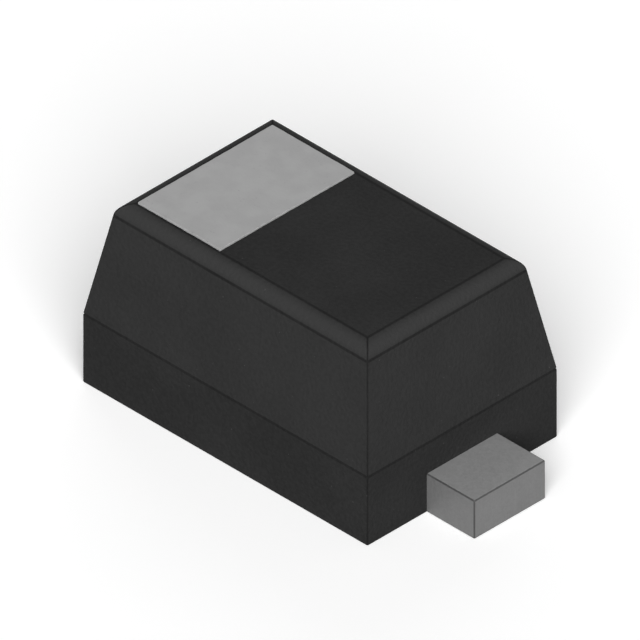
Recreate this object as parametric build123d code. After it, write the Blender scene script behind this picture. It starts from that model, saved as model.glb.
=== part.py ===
from build123d import *

import os
from math import radians, tan

# Surface mount PIN diode in a two-lead moulded package with flat feet.
#
# Millimetres. X runs along the body, from the cathode at -X to the anode at +X, and Z points up from the
# board. Every piece is built on the board's plane, z = 0, which the body's underside and both feet share. At
# the end they are all lowered by half the overall height, so that the origin is the middle of the whole part,
# which is what a placement machine lines up.
#
# Inside, a silicon chip is glued to the raised paddle of the cathode lead, and a gold wire runs from the
# contact on top of the chip to the raised post of the anode lead. Moulding compound fills all the rest.

# Moulded body
BODY_LENGTH = 1.20
BODY_WIDTH = 0.80
BODY_HEIGHT = 0.65
PARTING_HEIGHT = 0.25  # the walls stand straight up to here and lean in above it
DRAFT_ANGLE = 10.0
TOP_EDGE_RADIUS = 0.05

# Printed band that marks the cathode end of the top face
BAND_LENGTH = 0.348
BAND_THICKNESS = 0.006
BAND_MARGIN = 0.003  # bare strip left between the band and the start of the rounded edges

# Leads, stamped from one strip and then bent up inside the body
LEAD_WIDTH = 0.30
LEAD_THICKNESS = 0.14
LEAD_REACH = 0.20  # what stands out of each end of the body
FOOT_BURIED = 0.06  # flat foot that runs on inside the body before the bend
LEAD_RISE = 0.12
BEND_ANGLE = 45.0
BEND_INNER_RADIUS = 0.03
PADDLE_SHOULDER = 0.08  # how far the paddle is wider than the foot, on each side
POST_SHOULDER = 0.07
STAMPED_CORNER_RADIUS = 0.025
PADDLE_TO_POST_GAP = 0.12
GAP_CENTRE_X = 0.11

# Chip and what lies under and on it
CHIP_SIDE = 0.24
CHIP_THICKNESS = 0.12
BACK_METAL_THICKNESS = 0.003
GLUE_THICKNESS = 0.015  # under the back metal
GLUE_SPREAD = 0.02  # beyond the chip, on each side
GLUE_CLIMB = 0.02  # up the chip's sides
GLUE_LIP = 0.003  # width left at the top of the glue's slope
GLUE_CORNER_RADIUS = 0.015
PASSIVATION_THICKNESS = 0.004
SAW_STREET = 0.012  # bare silicon along the chip's edges
CONTACT_DIAMETER = 0.11
CONTACT_THICKNESS = 0.006

# Bond wire
WIRE_DIAMETER = 0.025
BALL_DIAMETER = 0.07
BALL_HEIGHT = 0.016
BALL_BULGE = 0.005
NECK_DIAMETER = 0.045
NECK_HEIGHT = 0.02
WIRE_RISE = 0.015  # straight stretch above the neck
KINK_RADIUS = 0.04
LOOP_RUN = 0.11  # from the ball's axis to where the wire turns down
LOOP_SHOULDER_RADIUS = 0.08
STITCH_LENGTH = 0.07
STITCH_WIDTH = 0.05
STITCH_THICKNESS = 0.006

# Sizes that follow from those above
OVERALL_HEIGHT = BODY_HEIGHT + BAND_THICKNESS
BODY_END_X = BODY_LENGTH / 2
LEAD_TIP_X = BODY_END_X + LEAD_REACH
LEAN_IN = (BODY_HEIGHT - PARTING_HEIGHT) * tan(radians(DRAFT_ANGLE))
TOP_FLAT_INSET = LEAN_IN + TOP_EDGE_RADIUS * tan(radians(90 - DRAFT_ANGLE) / 2)

BEND_OUTER_RADIUS = BEND_INNER_RADIUS + LEAD_THICKNESS
HALF_BEND = tan(radians(BEND_ANGLE) / 2)
FOOT_BEND_X = BODY_END_X - FOOT_BURIED - BEND_OUTER_RADIUS * HALF_BEND
RAISED_BEND_X = FOOT_BEND_X - LEAD_RISE / tan(radians(BEND_ANGLE))
RAISED_FLAT_X = RAISED_BEND_X - BEND_INNER_RADIUS * HALF_BEND
SHOULDER_X = RAISED_FLAT_X - STAMPED_CORNER_RADIUS
RAISED_TOP = LEAD_RISE + LEAD_THICKNESS

PADDLE_WIDTH = LEAD_WIDTH + 2 * PADDLE_SHOULDER
POST_WIDTH = LEAD_WIDTH + 2 * POST_SHOULDER
PADDLE_END_X = GAP_CENTRE_X - PADDLE_TO_POST_GAP / 2
POST_END_X = GAP_CENTRE_X + PADDLE_TO_POST_GAP / 2

CHIP_X = (PADDLE_END_X - SHOULDER_X) / 2
BACK_METAL_BOTTOM = RAISED_TOP + GLUE_THICKNESS
CHIP_BOTTOM = BACK_METAL_BOTTOM + BACK_METAL_THICKNESS
CHIP_TOP = CHIP_BOTTOM + CHIP_THICKNESS
CONTACT_TOP = CHIP_TOP + CONTACT_THICKNESS
STITCH_X = (POST_END_X + SHOULDER_X) / 2


def box_on(z, length, width, height, x=0.0):
    """A box centred on (x, 0) that stands on the height z."""
    return Pos(x, 0, z) * Box(length, width, height, align=(Align.CENTER, Align.CENTER, Align.MIN))


def body_envelope():
    """The moulded outside: straight walls, drafted walls above the parting line, and rounded top edges."""
    lower = box_on(0, BODY_LENGTH, BODY_WIDTH, PARTING_HEIGHT)
    foot = Pos(0, 0, PARTING_HEIGHT) * Rectangle(BODY_LENGTH, BODY_WIDTH)
    crown = Pos(0, 0, BODY_HEIGHT) * Rectangle(BODY_LENGTH - 2 * LEAN_IN, BODY_WIDTH - 2 * LEAN_IN)
    upper = loft([foot, crown], ruled=True)
    body = lower + upper
    return fillet(body.faces().sort_by(Axis.Z)[-1].edges(), TOP_EDGE_RADIUS)


def strip_side_view(inner_end_x):
    """The side view of a lead on the +X side, as a face in the X-Z plane, from its tip to inner_end_x."""
    mitre = LEAD_THICKNESS * HALF_BEND
    underside = FilletPolyline(
        (LEAD_TIP_X, 0),
        (FOOT_BEND_X, 0),
        (RAISED_BEND_X, LEAD_RISE),
        (inner_end_x, LEAD_RISE),
        radius=(BEND_OUTER_RADIUS, BEND_INNER_RADIUS),
    )
    upper_side = FilletPolyline(
        (LEAD_TIP_X, LEAD_THICKNESS),
        (FOOT_BEND_X + mitre, LEAD_THICKNESS),
        (RAISED_BEND_X + mitre, RAISED_TOP),
        (inner_end_x, RAISED_TOP),
        radius=(BEND_INNER_RADIUS, BEND_OUTER_RADIUS),
    )
    tip = Line(underside @ 0, upper_side @ 0)
    inner_end = Line(underside @ 1, upper_side @ 1)
    return Plane.XZ * make_face([*underside.edges(), inner_end, *upper_side.edges(), tip])


def strip_plan(inner_end_x, pad_width):
    """The stamped outline seen from above: a narrow foot and a wider pad with rounded corners."""
    shoulder = (pad_width - LEAD_WIDTH) / 2
    foot = Pos((LEAD_TIP_X + SHOULDER_X) / 2, 0) * Rectangle(LEAD_TIP_X - SHOULDER_X, LEAD_WIDTH)
    pad = Pos((SHOULDER_X + inner_end_x) / 2, 0) * Rectangle(SHOULDER_X - inner_end_x, pad_width)
    plan = foot + pad
    corners = plan.vertices().filter_by(lambda v: v.X < LEAD_TIP_X - LEAD_REACH / 2)
    # Each shoulder has a rounded corner at both of its ends, so it has to be longer than two radii.
    return fillet(corners, min(STAMPED_CORNER_RADIUS, 0.45 * shoulder))


def formed_lead(inner_end_x, pad_width):
    """A lead on the +X side: the stamped outline, bent up to the raised pad."""
    bent = extrude(strip_side_view(inner_end_x), pad_width / 2, both=True)
    stamped = extrude(strip_plan(inner_end_x, pad_width), RAISED_TOP)
    return bent & stamped


def die_attach():
    """Silver-filled glue under the chip, which creeps a little way up its sides."""
    base = Rectangle(CHIP_SIDE + 2 * GLUE_SPREAD, CHIP_SIDE + 2 * GLUE_SPREAD)
    lip = Rectangle(CHIP_SIDE + 2 * GLUE_LIP, CHIP_SIDE + 2 * GLUE_LIP)
    height = GLUE_THICKNESS + GLUE_CLIMB
    slope = loft([base, Pos(0, 0, height) * lip], ruled=True)
    corners = slope.edges().filter_by(lambda e: abs(e.tangent_at(0.5).Z) > 0.1)
    slope = fillet(corners, GLUE_CORNER_RADIUS)
    chip_seat = box_on(GLUE_THICKNESS, CHIP_SIDE, CHIP_SIDE, height)
    return Pos(CHIP_X, 0, RAISED_TOP) * (slope - chip_seat)


def passivation():
    """Glass layer over the chip's top, with a round window for the contact."""
    side = CHIP_SIDE - 2 * SAW_STREET
    window = Circle(CONTACT_DIAMETER / 2)
    return Pos(CHIP_X, 0, CHIP_TOP) * extrude(Rectangle(side, side) - window, PASSIVATION_THICKNESS)


def anode_contact():
    """Round metal contact in the window of the passivation."""
    return Pos(CHIP_X, 0, CHIP_TOP) * extrude(Circle(CONTACT_DIAMETER / 2), CONTACT_THICKNESS)


def ball_bond():
    """The squashed ball and the neck above it, turned about the Z axis, standing on z = 0."""
    ball, neck, wire = BALL_DIAMETER / 2, NECK_DIAMETER / 2, WIRE_DIAMETER / 2
    foot = ball - BALL_BULGE
    neck_top = BALL_HEIGHT + NECK_HEIGHT
    outline = [
        Line((0, 0), (foot, 0)),
        ThreePointArc((foot, 0), (ball, BALL_HEIGHT / 2), (foot, BALL_HEIGHT)),
        Line((foot, BALL_HEIGHT), (neck, BALL_HEIGHT)),
        Line((neck, BALL_HEIGHT), (wire, neck_top)),
        Line((wire, neck_top), (0, neck_top)),
        Line((0, neck_top), (0, 0)),
    ]
    return revolve(Plane.XZ * make_face(outline), Axis.Z)


def bond_wire():
    """One gold wire: ball on the chip's contact, loop over the gap, and a flattened stitch on the post."""
    start_z = CONTACT_TOP + BALL_HEIGHT + NECK_HEIGHT
    crest_z = start_z + WIRE_RISE + KINK_RADIUS
    shoulder = (CHIP_X + LOOP_RUN, 0, crest_z)
    # The wire's line runs on below the post's surface, where the surface then trims it.
    run_out = WIRE_DIAMETER / (crest_z - RAISED_TOP)
    end_x = STITCH_X + (STITCH_X - shoulder[0]) * run_out
    path = FilletPolyline(
        (CHIP_X, 0, start_z),
        (CHIP_X, 0, crest_z),
        shoulder,
        (end_x, 0, RAISED_TOP - WIRE_DIAMETER),
        radius=(KINK_RADIUS, LOOP_SHOULDER_RADIUS),
    )
    loop = sweep(Plane(path @ 0, z_dir=path % 0) * Circle(WIRE_DIAMETER / 2), path=path)
    below_post = box_on(0, BODY_LENGTH, BODY_WIDTH, RAISED_TOP)
    stitch = extrude(Ellipse(STITCH_LENGTH / 2, STITCH_WIDTH / 2), STITCH_THICKNESS)
    return (
        Pos(CHIP_X, 0, CONTACT_TOP) * ball_bond()
        + (loop - below_post)
        + Pos(STITCH_X, 0, RAISED_TOP) * stitch
    )


def cathode_band():
    """Thin rectangle of ink at the cathode end of the top face."""
    start_x = TOP_FLAT_INSET + BAND_MARGIN - BODY_END_X
    width = BODY_WIDTH - 2 * (TOP_FLAT_INSET + BAND_MARGIN)
    return box_on(BODY_HEIGHT, BAND_LENGTH, width, BAND_THICKNESS, x=start_x + BAND_LENGTH / 2)


def build():
    """Every piece by its node name, in its place."""
    pieces = {
        "anode_lead": formed_lead(POST_END_X, POST_WIDTH),
        "cathode_lead": mirror(formed_lead(-PADDLE_END_X, PADDLE_WIDTH), about=Plane.YZ),
        "die_attach": die_attach(),
        "cathode_contact": box_on(BACK_METAL_BOTTOM, CHIP_SIDE, CHIP_SIDE, BACK_METAL_THICKNESS, x=CHIP_X),
        "pin_chip": box_on(CHIP_BOTTOM, CHIP_SIDE, CHIP_SIDE, CHIP_THICKNESS, x=CHIP_X),
        "chip_passivation": passivation(),
        "anode_contact": anode_contact(),
        "bond_wire": bond_wire(),
    }
    body = body_envelope()
    for piece in pieces.values():
        body -= piece
    return {"moulded_body": body, "cathode_band": cathode_band(), **pieces}


os.makedirs("parts", exist_ok=True)
for node, shape in build().items():
    placed = Pos(0, 0, -OVERALL_HEIGHT / 2) * shape
    placed.label = node
    export_step(placed, f"parts/{node}.step")
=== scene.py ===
from math import atan, cos, pi, radians, sin, sqrt, tan

import bmesh
import bpy
from mathutils import Matrix, Vector, noise


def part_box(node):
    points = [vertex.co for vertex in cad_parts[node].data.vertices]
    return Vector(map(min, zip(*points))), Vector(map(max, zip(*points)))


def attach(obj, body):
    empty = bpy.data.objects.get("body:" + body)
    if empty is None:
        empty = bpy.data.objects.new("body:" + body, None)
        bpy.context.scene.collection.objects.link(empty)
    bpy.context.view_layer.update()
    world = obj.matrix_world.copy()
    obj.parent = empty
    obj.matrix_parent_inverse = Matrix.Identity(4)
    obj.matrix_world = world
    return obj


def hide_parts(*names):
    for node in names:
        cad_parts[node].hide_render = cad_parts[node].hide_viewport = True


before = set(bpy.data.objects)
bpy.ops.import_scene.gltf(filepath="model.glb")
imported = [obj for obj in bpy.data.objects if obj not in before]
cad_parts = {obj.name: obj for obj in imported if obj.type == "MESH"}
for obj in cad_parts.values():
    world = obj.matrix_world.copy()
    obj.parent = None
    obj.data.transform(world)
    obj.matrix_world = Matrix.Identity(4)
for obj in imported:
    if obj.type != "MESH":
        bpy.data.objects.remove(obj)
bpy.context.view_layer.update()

# Surface mount PIN diode: a black moulded body with a flat tinned foot at each end and a grey printed band.
#
# Lengths are in millimetres, and MM turns them into metres as each mesh is finished. The frame's origin is
# the middle of the whole part.
MM = 0.001

# Moulded body
DRAFT_ANGLE = radians(10)
PARTING_RISE = 0.25  # from the underside to where the walls begin to lean in
TOP_EDGE_RADIUS = 0.05
TOP_EDGE_STEPS = 16
MOULD_EDGE_RADIUS = 0.005
MOULD_EDGE_STEPS = 4
GROOVE_DEPTH = 0.0025  # witness mark that the mould's halves leave round the parting line
GROOVE_HALF_HEIGHT = 0.004
DARK_LINE_HALF_WIDTH = 0.004  # dark lines by the round, and the painted shade in the parting groove

# Stamped leads
STAMPED_EDGE_RADIUS = 0.005
STAMPED_EDGE_STEPS = 3
SHARP_TURN = radians(30)
SAME_PLANE = radians(0.5)
SAME_POINT = 1e-6

# Printed band
INK_EDGE_RADIUS = 0.0025
INK_EDGE_STEPS = 3
INK_CORNER_RADIUS = 0.003
INK_WOBBLE = 0.0009
INK_WOBBLE_LENGTH = 0.03
INK_SIDE_STEPS = 60

# Shading of every fine edge
BLEND_LIMIT = cos(radians(50))  # faces that turn less than this share their normals

# Grain of the finishes: how large it is, and how deep
MOULD_GRAIN = 0.012
MOULD_GRAIN_DEPTH = 0.0045
COMPOUND_MOTTLE = 0.3
RESIN_WAVES = 0.08
FILLER_SPACING = 0.03
FILLER_OUTLINE = 0.006
INK_GRAIN = 0.011
INK_FILM = 0.07
INK_DEPTH = 0.0015
TIN_CRYSTALS = 0.007
TIN_CLOUDS = 0.1
TIN_DEPTH = 0.0009
DIE_STREAKS = 0.009
SILVER_FLAKES = 0.006
SILVER_DEPTH = 0.0012
SAW_MARKS = 0.05
SAW_DEPTH = 0.0015
GRINDING_LINES = 0.004
GLASS_FILM = 0.12
ALUMINIUM_CRYSTALS = 0.004
GOLD_FILM = 0.012
METAL_DEPTH = 0.0004

# The photograph's view: a true isometric one
VIEW_AZIMUTH = radians(45)
VIEW_ELEVATION = atan(1 / sqrt(2))
VIEW_SPAN = 1.9057  # what the picture's width takes in
VIEW_AIM_RISE = 0.3258  # above the board
CAMERA_DISTANCE = 20.0

# Studio
SKY_LEVEL = 0.12
KEY_LEVEL = 4.0
KEY_SPREAD = radians(50)
FILL_LEVEL = 1.1  # from behind, so that the far sides aren't lost in the dark
FILL_SPREAD = radians(60)
FILL_ELEVATION = radians(12)
FLOOR_SIZE = 80.0
FLOOR_TONE = 0.35  # how much of the light the floor throws back at the object
FLOOR_LIFT = 0.1  # what brings the floor up to white for the camera and in reflections


class Value:
    """A shader socket. Arithmetic on it adds Math nodes to its own shader."""

    def __init__(self, shader, socket):
        self.shader = shader
        self.socket = socket

    def __add__(self, other):
        return self.shader.math("ADD", self, other)

    def __radd__(self, other):
        return self.shader.math("ADD", other, self)

    def __sub__(self, other):
        return self.shader.math("SUBTRACT", self, other)

    def __rsub__(self, other):
        return self.shader.math("SUBTRACT", other, self)

    def __mul__(self, other):
        return self.shader.math("MULTIPLY", self, other)

    def __rmul__(self, other):
        return self.shader.math("MULTIPLY", other, self)

    def __truediv__(self, other):
        return self.shader.math("DIVIDE", self, other)

    def __rtruediv__(self, other):
        return self.shader.math("DIVIDE", other, self)

    def __abs__(self):
        return self.shader.math("ABSOLUTE", self)


class Shader:
    """The node tree of a material, or of the world."""

    def __init__(self, owner):
        owner.use_nodes = True
        self.tree = owner.node_tree
        self.tree.nodes.clear()

    def node(self, kind, settings=None, inputs=None, output=0):
        """Adds a node, with its settings first and then its sockets' values or links. Returns one output."""
        made = self.tree.nodes.new(kind)
        for name, setting in (settings or {}).items():
            setattr(made, name, setting)
        for name, value in (inputs or {}).items():
            if isinstance(value, Value):
                self.tree.links.new(value.socket, made.inputs[name])
            else:
                made.inputs[name].default_value = value
        return Value(self, made.outputs[output]) if len(made.outputs) else None

    def math(self, operation, first, second=0.0, clamp=False):
        """One step of arithmetic on values or numbers."""
        settings = {"operation": operation, "use_clamp": clamp}
        return self.node("ShaderNodeMath", settings, {0: first, 1: second})

    def place(self):
        """The point on the piece, in millimetres from the middle of the part."""
        metres = self.node("ShaderNodeTexCoord", output="Object")
        return self.node("ShaderNodeVectorMath", {"operation": "SCALE"}, {"Vector": metres, "Scale": 1 / MM})

    def axis(self, place, name):
        """One coordinate of a place."""
        return self.node("ShaderNodeSeparateXYZ", None, {"Vector": place}, name)

    def facing(self, name):
        """How far the surface faces along one of the piece's axes, from -1 to 1."""
        return self.axis(self.node("ShaderNodeTexCoord", output="Normal"), name)

    def between(self, first, second):
        """0 on a flat that faces along one of two axes, and 0.5 half way round from one to the other."""
        return abs(self.facing(first) * self.facing(second))

    def on_round(self, turned):
        """1 on the fine round of an edge and 0 on the flats beside it, from what lies between their axes."""
        return self.rise(turned, 0.08, 0.3)

    def stretched(self, place, x=1.0, z=1.0):
        """A place with its axes scaled, for grain that runs one way."""
        return self.node("ShaderNodeMapping", None, {"Vector": place, "Scale": (x, 1, z)})

    def grains(self, place, size, detail=2.0):
        """Soft noise from 0 to 1 with grains of about that size."""
        return self.node("ShaderNodeTexNoise", None, {"Vector": place, "Scale": 1 / size, "Detail": detail})

    def cells(self, place, size, output="Distance"):
        """Packed cells of about that size: how far it is to the middle of one, or a colour of its own."""
        return self.node("ShaderNodeTexVoronoi", None, {"Vector": place, "Scale": 1 / size}, output)

    def rise(self, value, low, high):
        """0 up to low, 1 from high on and a smooth rise between. With low above high it falls."""
        settings = {"interpolation_type": "SMOOTHSTEP"}
        return self.node("ShaderNodeMapRange", settings, {"Value": value, "From Min": low, "From Max": high})

    def line(self, distance, half_width):
        """1 on a fine line and 0 beside it, with soft edges, from the distance to the line's middle."""
        return self.rise(abs(distance), 1.5 * half_width, 0.75 * half_width)

    def spread(self, grain):
        """Soft noise spread over the whole range from 0 to 1."""
        return self.rise(grain, 0.3, 0.7)

    def blend(self, amount, first, second):
        """The colour first where amount is 0 and second where it is 1."""
        settings = {"data_type": "RGBA"}
        return self.node("ShaderNodeMix", settings, {"Factor": amount, 6: first, 7: second}, output=2)

    def relief(self, height, depth, strength=1.0):
        """The normal of a surface that rises by depth millimetres as height goes from 0 to 1."""
        inputs = {"Height": height, "Distance": depth * MM, "Strength": strength}
        return self.node("ShaderNodeBump", None, inputs)

    def directly_seen(self):
        """1 for what the camera sees, also in a reflection or through glass, and 0 for light that falls."""
        seen = self.node("ShaderNodeLightPath", output="Is Camera Ray")
        mirrored = self.node("ShaderNodeLightPath", output="Is Glossy Ray")
        through_glass = self.node("ShaderNodeLightPath", output="Is Transmission Ray")
        return self.math("ADD", seen + mirrored, through_glass, clamp=True)

    def surface(self, **inputs):
        """The material's shader, with underscores for the spaces in its sockets' names."""
        named = {name.replace("_", " "): value for name, value in inputs.items()}
        shaded = self.node("ShaderNodeBsdfPrincipled", None, named)
        self.node("ShaderNodeOutputMaterial", None, {"Surface": shaded})


def grey(level):
    """A neutral colour."""
    return (level, level, level, 1)


def new_material(name):
    """A material and the shader to build it in."""
    material = bpy.data.materials.new(name)
    return material, Shader(material)


def moulding_compound(parting_height, round_foot, top_half_length, top_half_width):
    """Matt black epoxy filled with fine silica.

    The flats keep the spark-eroded grain of the mould. The top flat is painted a little darker than the
    walls, as painted shade against the sky's light on it. The round top edge is painted paler, a painted
    highlight, and has a thin coat that shines a little; the leaning walls get a little of that painted
    highlight and the upright ones none. The parting line's groove is painted darker, as painted shade.
    There is more resin than filler, and the compound is darker, on the upright corners and in two fine
    lines, one round the flat top and one at the foot of the round.
    """
    material, shader = new_material("moulding_compound")
    place = shader.place()
    facing_up = shader.facing("Z")
    slope = 1 - facing_up * facing_up
    facing_out = shader.math("SQRT", slope)
    side = shader.rise(facing_out, 0.0, 0.2)

    height = shader.axis(place, "Z")
    past_end = abs(shader.axis(place, "X")) - top_half_length
    past_side = abs(shader.axis(place, "Y")) - top_half_width
    past_flat = shader.math("MAXIMUM", past_end, past_side)
    # painted shade: the parting line's groove is painted darker, for the shade that falls in it
    painted_groove_shade = shader.line(height - parting_height, DARK_LINE_HALF_WIDTH)
    lower_line = shader.line(height - round_foot, DARK_LINE_HALF_WIDTH)
    upper_line = shader.line(past_flat, DARK_LINE_HALF_WIDTH) * shader.rise(facing_up, 0.5, 0.9)
    corner = shader.on_round(shader.between("X", "Y") / slope)
    lines = 0.38 * painted_groove_shade + 0.4 * (upper_line + lower_line)
    waviness = shader.grains(place, RESIN_WAVES)
    # dark lines at the corners and by the round, together with the painted shade of the groove
    dark_lines_and_groove_shade = shader.math("MAXIMUM", 0.52 * corner, lines) * (0.8 + 0.4 * waviness)
    # painted highlight: the round top edge is painted paler, and the leaning walls a little, as the light
    # from the viewer's side lights them; the same mask gives the round a thin shining coat
    round_edge = shader.rise(facing_up, 0.0, 0.55) * shader.rise(facing_out, -0.1, 0.65)
    painted_highlight_and_gloss = round_edge * shader.rise(dark_lines_and_groove_shade, 0.4, 0.0)

    mould_grain = shader.grains(place, MOULD_GRAIN, detail=4)
    mottle = shader.grains(place, COMPOUND_MOTTLE)
    ragged = shader.grains(place, FILLER_OUTLINE)
    filler = shader.rise(shader.cells(place, FILLER_SPACING) + 0.1 * ragged, 0.13, 0.09)
    rare = shader.rise(shader.axis(shader.cells(place, FILLER_SPACING, output="Color"), "X"), 0.6, 0.9)
    # painted shade: the walls are painted a little lighter than the top flat, against the sky's light on the
    # top
    shade = 0.34 * shader.spread(mottle) + 0.34 * shader.spread(mould_grain) + 0.16 * side
    plain = shader.blend(shade, grey(0.0218), grey(0.0362))
    # painted highlight: paler on the round top edge and a little on the leaning walls
    with_painted_highlight = shader.blend(painted_highlight_and_gloss, plain, grey(0.0365))
    speckled = shader.blend(filler * rare * 0.45, with_painted_highlight, grey(0.1))
    shader.surface(
        Base_Color=shader.blend(dark_lines_and_groove_shade, speckled, grey(0.004)),
        Roughness=0.52 + 0.2 * mould_grain,
        Specular_IOR_Level=0.005,
        Coat_Weight=0.05 * painted_highlight_and_gloss,
        Coat_Roughness=0.45,
        Normal=shader.relief(0.8 * mould_grain + 0.2 * waviness, MOULD_GRAIN_DEPTH, strength=0.8),
    )
    return material


def band_ink():
    """Grey marking ink, a little thinner on the high spots of the grain under it."""
    material, shader = new_material("band_ink")
    place = shader.place()
    mould_grain = shader.grains(place, INK_GRAIN, detail=3)
    film = shader.grains(place, INK_FILM)
    thin = shader.rise(mould_grain, 0.64, 0.8)
    colour = shader.blend(shader.spread(film), grey(0.32), grey(0.345))
    shader.surface(
        Base_Color=shader.blend(thin * 0.25, colour, grey(0.12)),
        Roughness=0.58 + 0.1 * mould_grain,
        Specular_IOR_Level=0.16,
        Normal=shader.relief(0.6 * mould_grain + 0.4 * film, INK_DEPTH, strength=0.6),
    )
    return material


def matt_tin():
    """Matt tin plating: fine packed crystals, with the die's streaks under it on the cut faces.

    Along the edges it is thin, and the dark alloy under it shows.
    """
    material, shader = new_material("matt_tin")
    place = shader.place()
    cut_face = shader.rise(abs(shader.facing("Z")), 0.7, 0.3)
    edge = shader.on_round(shader.between("X", "Y") + shader.between("Y", "Z") + shader.between("Z", "X"))
    streaks = shader.grains(shader.stretched(place, z=0.08), DIE_STREAKS)
    crystals = shader.cells(place, TIN_CRYSTALS)
    shades = shader.axis(shader.cells(place, TIN_CRYSTALS, output="Color"), "X")
    cloud = shader.grains(place, TIN_CLOUDS)
    # partly painted light: the rolled top and underside are painted lighter than the cut faces, against the
    # weaker light on the top; in part the cut faces are truly duller
    tone = 0.15 * shades + 0.25 * cloud + 0.56 * (1 - cut_face) + 0.15 * cut_face * streaks
    plated = shader.blend(tone, grey(0.142), grey(0.285))
    shader.surface(
        Base_Color=shader.blend(edge * (0.65 + 0.4 * cloud), plated, grey(0.04)),
        Metallic=0.2,
        Roughness=0.46 + 0.12 * shades,
        Specular_IOR_Level=0.25,
        Normal=shader.relief(0.5 * crystals + cut_face * streaks, TIN_DEPTH, strength=0.5),
    )
    return material


def silver_glue():
    """Silver flakes in cured epoxy."""
    material, shader = new_material("silver_glue")
    place = shader.place()
    flakes = shader.cells(place, SILVER_FLAKES)
    shades = shader.axis(shader.cells(place, SILVER_FLAKES, output="Color"), "X")
    shader.surface(
        Base_Color=shader.blend(shades, grey(0.35), grey(0.6)),
        Metallic=0.6,
        Roughness=0.35 + 0.3 * shades,
        Normal=shader.relief(flakes, SILVER_DEPTH),
    )
    return material


def back_metal():
    """The thin metal on the chip's back, lightly grained by the grinding under it."""
    material, shader = new_material("back_metal")
    lines = shader.grains(shader.stretched(shader.place(), x=0.05), GRINDING_LINES)
    shader.surface(
        Base_Color=shader.blend(lines, (0.70, 0.67, 0.60, 1), (0.80, 0.77, 0.70, 1)),
        Metallic=1.0,
        Roughness=0.3 + 0.15 * lines,
        Normal=shader.relief(lines, METAL_DEPTH),
    )
    return material


def silicon():
    """Silicon: a polished top, and sides with the fine marks of the saw."""
    material, shader = new_material("silicon")
    place = shader.place()
    side = shader.rise(shader.facing("Z"), 0.9, 0.5)
    saw_marks = shader.grains(shader.stretched(place, z=14.0), SAW_MARKS, detail=3)
    shader.surface(
        Base_Color=shader.blend(side * saw_marks, (0.16, 0.17, 0.19, 1), (0.26, 0.27, 0.29, 1)),
        Metallic=0.35,
        Roughness=0.12 + 0.4 * side + 0.1 * saw_marks,
        Normal=shader.relief(side * saw_marks, SAW_DEPTH),
    )
    return material


def passivation_glass():
    """Thin glass, whose colour shifts a little with its thickness."""
    material, shader = new_material("passivation_glass")
    film = shader.grains(shader.place(), GLASS_FILM)
    shader.surface(
        Base_Color=shader.blend(film, (0.30, 0.46, 0.44, 1), (0.38, 0.44, 0.56, 1)),
        Roughness=0.06 + 0.06 * film,
        Alpha=0.35,
    )
    return material


def contact_aluminium():
    """Sputtered aluminium with fine grain."""
    material, shader = new_material("contact_aluminium")
    crystals = shader.cells(shader.place(), ALUMINIUM_CRYSTALS)
    shader.surface(
        Base_Color=shader.blend(crystals, grey(0.8), grey(0.7)),
        Metallic=1.0,
        Roughness=0.28 + 0.2 * crystals,
        Normal=shader.relief(crystals, METAL_DEPTH),
    )
    return material


def drawn_gold():
    """Gold wire, smooth from the drawing die."""
    material, shader = new_material("drawn_gold")
    film = shader.grains(shader.place(), GOLD_FILM)
    shader.surface(
        Base_Color=shader.blend(film, (0.90, 0.62, 0.24, 1), (0.95, 0.70, 0.32, 1)),
        Metallic=1.0,
        Roughness=0.16 + 0.1 * film,
        Normal=shader.relief(film, METAL_DEPTH),
    )
    return material


def floor_paper():
    """White paper: the camera and reflections see it at full white, less the object's shadow."""
    material, shader = new_material("floor_paper")
    seen = shader.directly_seen()
    shader.surface(
        Base_Color=shader.blend(seen, grey(FLOOR_TONE), grey(1)),
        Roughness=0.9,
        Specular_IOR_Level=0.0,
        Emission_Color=shader.blend(seen, grey(0), grey(FLOOR_LIFT)),
        Emission_Strength=1.0,
    )
    return material


def finished(name, mesh, material, node):
    """Turns a bmesh in millimetres into a piece of the object that stands for a CAD node."""
    mesh.transform(Matrix.Scale(MM, 4))
    data = bpy.data.meshes.new(name)
    mesh.to_mesh(data)
    mesh.free()
    data.materials.append(material)
    piece = bpy.data.objects.new(name, data)
    bpy.context.scene.collection.objects.link(piece)
    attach(piece, "root")
    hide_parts(node)
    return piece


def rounded_rectangle(half_length, half_width, radius, corner_steps, side_steps=1):
    """Points round a rectangle with rounded corners, anticlockwise from the right side's top end."""
    points = []
    for quarter, (x_side, y_side) in enumerate(((1, 1), (-1, 1), (-1, -1), (1, -1))):
        middle = Vector((x_side * (half_length - radius), y_side * (half_width - radius)))
        for step in range(corner_steps + 1):
            angle = (quarter + step / corner_steps) * pi / 2
            points.append(middle + radius * Vector((cos(angle), sin(angle))))
    return divided(points, corner_steps + 1, side_steps)


def divided(points, per_corner, side_steps):
    """The same outline, with side_steps even steps along each straight side."""
    result = []
    for index, point in enumerate(points):
        result.append(point)
        following = points[(index + 1) % len(points)]
        if index % per_corner == per_corner - 1:
            result += [point.lerp(following, step / side_steps) for step in range(1, side_steps)]
    return result


def stacked(rings):
    """A closed mesh through rings of points, from the lowest up, with a flat face on each end."""
    mesh = bmesh.new()
    loops = [[mesh.verts.new(point) for point in ring] for ring in rings]
    count = len(loops[0])
    for below, above in zip(loops, loops[1:]):
        for index in range(count):
            after = (index + 1) % count
            mesh.faces.new((below[index], below[after], above[after], above[index]))
    mesh.faces.new(loops[-1])
    mesh.faces.new(reversed(loops[0]))
    for face in mesh.faces:
        face.smooth = True
    return mesh


def arc(centre_inset, centre_rise, radius, start, end, steps):
    """Profile points, each an inset and a rise, on an arc whose angle is measured up from straight out."""
    angles = [start + (end - start) * step / steps for step in range(steps + 1)]
    return [(centre_inset - radius * cos(angle), centre_rise + radius * sin(angle)) for angle in angles]


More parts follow.
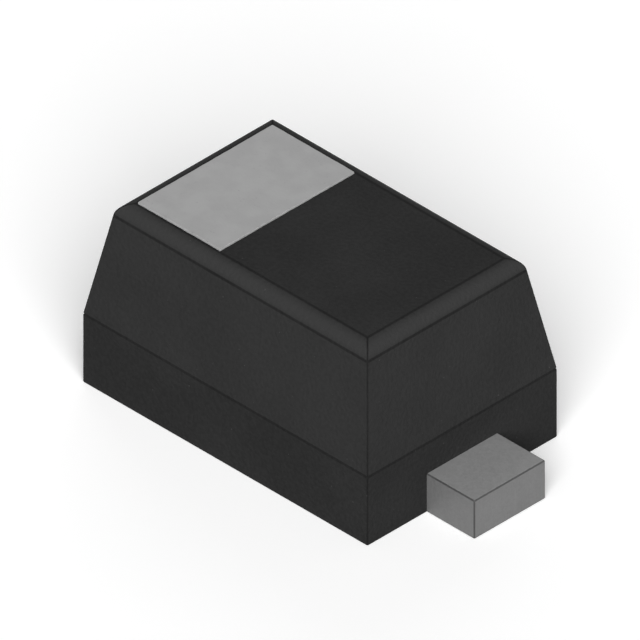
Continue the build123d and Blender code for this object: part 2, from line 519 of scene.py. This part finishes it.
def body_profile(height):
    """The wall's profile from the underside to the top face: how far each point is set in, and how high."""
    def leaning(rise):
        return (rise - PARTING_RISE) * tan(DRAFT_ANGLE)

    top_inset = leaning(height) + TOP_EDGE_RADIUS * tan((pi / 2 - DRAFT_ANGLE) / 2)
    foot = arc(MOULD_EDGE_RADIUS, MOULD_EDGE_RADIUS, MOULD_EDGE_RADIUS, -pi / 2, 0, MOULD_EDGE_STEPS)
    groove = [
        (0, PARTING_RISE - GROOVE_HALF_HEIGHT),
        (GROOVE_DEPTH, PARTING_RISE),
        (leaning(PARTING_RISE + GROOVE_HALF_HEIGHT), PARTING_RISE + GROOVE_HALF_HEIGHT),
    ]
    crown = arc(top_inset, height - TOP_EDGE_RADIUS, TOP_EDGE_RADIUS, DRAFT_ANGLE, pi / 2, TOP_EDGE_STEPS)
    return foot + groove + crown


def moulded_body(buried):
    """The moulded block, with its mould's fine edges, cast round everything buried in it."""
    low, high = (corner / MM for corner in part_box("moulded_body"))
    profile = body_profile(high.z - low.z)
    top_inset = profile[-1][0]
    round_foot = high.z - TOP_EDGE_RADIUS * (1 - sin(DRAFT_ANGLE))
    material = moulding_compound(low.z + PARTING_RISE, round_foot, high.x - top_inset, high.y - top_inset)
    rings = []
    for inset, rise in profile:
        outline = rounded_rectangle(high.x - inset, high.y - inset, MOULD_EDGE_RADIUS, MOULD_EDGE_STEPS)
        rings.append([(point.x, point.y, low.z + rise) for point in outline])
    body = finished("epoxy_body", stacked(rings), material, "moulded_body")
    for piece in buried:
        room = body.modifiers.new("room_for_" + piece.name, "BOOLEAN")
        room.operation = "DIFFERENCE"
        room.solver = "EXACT"
        room.object = piece
    bpy.context.view_layer.update()
    cast = bpy.data.meshes.new_from_object(body.evaluated_get(bpy.context.evaluated_depsgraph_get()))
    body.modifiers.clear()
    body.data = cast
    keep_flats_flat(body)


def keep_flats_flat(piece):
    """Shades the flats flat, so that only the narrow rounds between them turn the light.

    At every corner, the faces that meet there without a sharp turn share one normal, in which large faces
    count most.
    """
    mesh = piece.data
    around = {vertex.index: [] for vertex in mesh.vertices}
    for face in mesh.polygons:
        weight = (face.area / MM ** 2) ** 2
        for vertex in face.vertices:
            around[vertex].append((face.normal.copy(), weight))
    normals = []
    for face in mesh.polygons:
        for vertex in face.vertices:
            shared = [
                normal * weight
                for normal, weight in around[vertex]
                if normal.dot(face.normal) > BLEND_LIMIT
            ]
            normals.append(sum(shared, Vector()).normalized())
    mesh.normals_split_custom_set(normals)


def tinned_lead(name, node, material):
    """A lead as stamped and formed, with its sharp edges slightly rounded by the plating."""
    mesh = bmesh.new()
    mesh.from_mesh(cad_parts[node].data)
    mesh.transform(Matrix.Scale(1 / MM, 4))
    bmesh.ops.remove_doubles(mesh, verts=mesh.verts, dist=SAME_POINT)
    bmesh.ops.dissolve_limit(mesh, verts=mesh.verts, edges=mesh.edges, angle_limit=SAME_PLANE)
    sharp = [edge for edge in mesh.edges if edge.calc_face_angle(0) > SHARP_TURN]
    bmesh.ops.bevel(
        mesh,
        geom=sharp,
        offset=STAMPED_EDGE_RADIUS,
        offset_type="OFFSET",
        segments=STAMPED_EDGE_STEPS,
        profile=0.5,
        affect="EDGES",
        clamp_overlap=True,
    )
    for face in mesh.faces:
        face.smooth = True
    lead = finished(name, mesh, material, node)
    keep_flats_flat(lead)
    return lead


def printed_band(material):
    """The printed rectangle of ink, with soft edges that wander a little."""
    low, high = (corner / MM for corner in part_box("cathode_band"))
    middle = (low + high) / 2
    half_length, half_width = (high - low).x / 2, (high - low).y / 2
    thickness = high.z - low.z
    edge = arc(INK_EDGE_RADIUS, thickness - INK_EDGE_RADIUS, INK_EDGE_RADIUS, 0, pi / 2, INK_EDGE_STEPS)
    rings = []
    for inset, rise in [(0, 0)] + edge:
        outline = rounded_rectangle(
            half_length - inset,
            half_width - inset,
            INK_CORNER_RADIUS - inset,
            MOULD_EDGE_STEPS,
            INK_SIDE_STEPS,
        )
        rings.append([wandering(point, middle, low.z + rise) for point in outline])
    band = finished("printed_band", stacked(rings), material, "cathode_band")
    keep_flats_flat(band)


def wandering(point, middle, z):
    """A point of the band's edge, drawn in by up to the wobble."""
    draw = 1 - INK_WOBBLE * (1 + noise.noise(point.to_3d() / INK_WOBBLE_LENGTH)) / point.length
    return (middle.x + point.x * draw, middle.y + point.y * draw, z)


def dress(node, material):
    """Gives a CAD node its finished material."""
    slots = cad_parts[node].data.materials
    slots.clear()
    slots.append(material)


def studio(board):
    """A white floor at the board's height, one broad key light from the viewer's side, and an even sky."""
    mesh = bmesh.new()
    bmesh.ops.create_grid(mesh, x_segments=1, y_segments=1, size=FLOOR_SIZE / 2 * MM)
    data = bpy.data.meshes.new("floor")
    mesh.to_mesh(data)
    mesh.free()
    data.materials.append(floor_paper())
    floor = bpy.data.objects.new("floor", data)
    floor.location.z = board * MM
    bpy.context.scene.collection.objects.link(floor)

    lamp("key", KEY_LEVEL, KEY_SPREAD, toward_viewer())
    fill = lamp("fill", FILL_LEVEL, FILL_SPREAD, direction(VIEW_AZIMUTH + pi, FILL_ELEVATION))
    fill.visible_glossy = False  # so that it puts no glint on the near sides

    sky = bpy.data.worlds.new("sky")
    bpy.context.scene.world = sky
    shader = Shader(sky)
    strength = SKY_LEVEL + (1 - SKY_LEVEL) * shader.directly_seen()
    light = shader.node("ShaderNodeBackground", None, {"Color": grey(1), "Strength": strength})
    shader.node("ShaderNodeOutputWorld", None, {"Surface": light})


def lamp(name, level, spread, toward):
    """A lamp as far off as the sun, in that direction, that looks as wide as its spread."""
    data = bpy.data.lights.new(name, "SUN")
    data.energy = level
    data.angle = spread
    placed = bpy.data.objects.new(name, data)
    aim_back(placed, toward)
    return placed


def aim_back(placed, toward):
    """Puts a lamp or camera in the scene, looking against the direction toward it."""
    placed.rotation_mode = "QUATERNION"
    placed.rotation_quaternion = (-toward).to_track_quat("-Z", "Y")
    bpy.context.scene.collection.objects.link(placed)


def direction(azimuth, elevation):
    """The direction from the object to whoever looks at it from there. At azimuth 0 they look along +Y."""
    return Vector((sin(azimuth) * cos(elevation), -cos(azimuth) * cos(elevation), sin(elevation)))


def toward_viewer():
    """The direction from the object to the photograph's camera."""
    return direction(VIEW_AZIMUTH, VIEW_ELEVATION)


def camera(board):
    """The photograph's camera: no perspective, and the same frame."""
    data = bpy.data.cameras.new("camera")
    data.type = "ORTHO"
    data.ortho_scale = VIEW_SPAN * MM
    data.clip_start = MM
    data.clip_end = 1.0
    seen_from = bpy.data.objects.new("camera", data)
    aim = Vector((0, 0, board + VIEW_AIM_RISE))
    seen_from.location = (aim + toward_viewer() * CAMERA_DISTANCE) * MM
    aim_back(seen_from, toward_viewer())
    bpy.context.scene.camera = seen_from


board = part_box("moulded_body")[0].z / MM
camera(board)
studio(board)

tin = matt_tin()
leads = [
    tinned_lead("tinned_cathode_lead", "cathode_lead", tin),
    tinned_lead("tinned_anode_lead", "anode_lead", tin),
]
inner_materials = {
    "die_attach": silver_glue(),
    "cathode_contact": back_metal(),
    "pin_chip": silicon(),
    "chip_passivation": passivation_glass(),
    "anode_contact": contact_aluminium(),
    "bond_wire": drawn_gold(),
}
for node, material in inner_materials.items():
    dress(node, material)
buried = leads + [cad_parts[node] for node in inner_materials]
moulded_body(buried)
printed_band(band_ink())

bpy.context.scene.view_settings.view_transform = "Standard"
bpy.context.view_layer.update()
